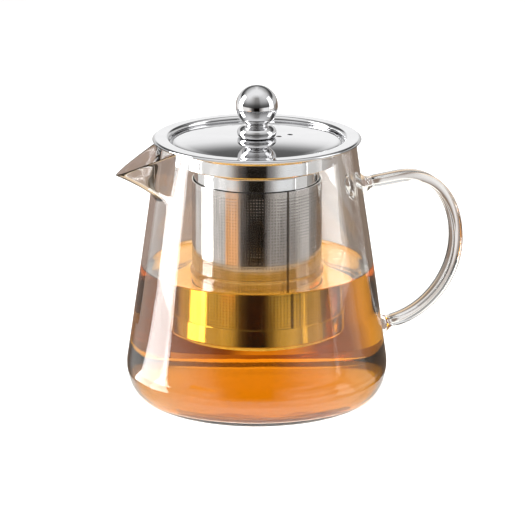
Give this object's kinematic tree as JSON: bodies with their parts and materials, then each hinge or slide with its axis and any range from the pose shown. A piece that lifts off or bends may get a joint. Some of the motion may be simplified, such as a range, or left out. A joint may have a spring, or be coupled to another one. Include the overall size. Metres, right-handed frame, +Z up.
{
  "type": "glass teapot with lift-out infuser",
  "caption": "Clear glass teapot with a pulled spout and a strap handle, a lift-out steel mesh infuser basket and a steel lid with a ball knob.",
  "frame": {"origin": "centre of the flat base, on the surface that the teapot stands on", "axes": "+Z up, -X towards the spout, +X towards the handle"},
  "size_m": [0.1613, 0.1148, 0.1392],
  "materials": {
    "clear_glass": "clear polished borosilicate glass, fire finished",
    "polished_steel": "mirror polished stainless steel",
    "etched_mesh_steel": "satin stainless sheet etched with fine round holes",
    "plain_steel": "plain turned stainless steel"
  },
  "bodies": {
    "pot": {"glass_body": "clear_glass", "glass_handle": "clear_glass"},
    "infuser": {"infuser_brim": "polished_steel", "infuser_shoulder": "polished_steel", "infuser_mesh_tube": "etched_mesh_steel", "infuser_base_cup": "etched_mesh_steel"},
    "lid": {"lid_cap": "polished_steel", "lid_locating_ring": "polished_steel", "knob_upper_shell": "polished_steel", "knob_lower_shell": "polished_steel", "knob_foot": "polished_steel", "knob_threaded_bush": "plain_steel", "knob_washer": "plain_steel", "knob_screw": "plain_steel"}
  },
  "joints": [
    {"name": "infuser_lift", "type": "slide", "parent": "pot", "child": "infuser", "axis": [0, 0, 1], "range_m": [0, 0.12]},
    {"name": "lid_lift", "type": "slide", "parent": "infuser", "child": "lid", "axis": [0, 0, 1], "range_m": [0, 0.05]}
  ]
}
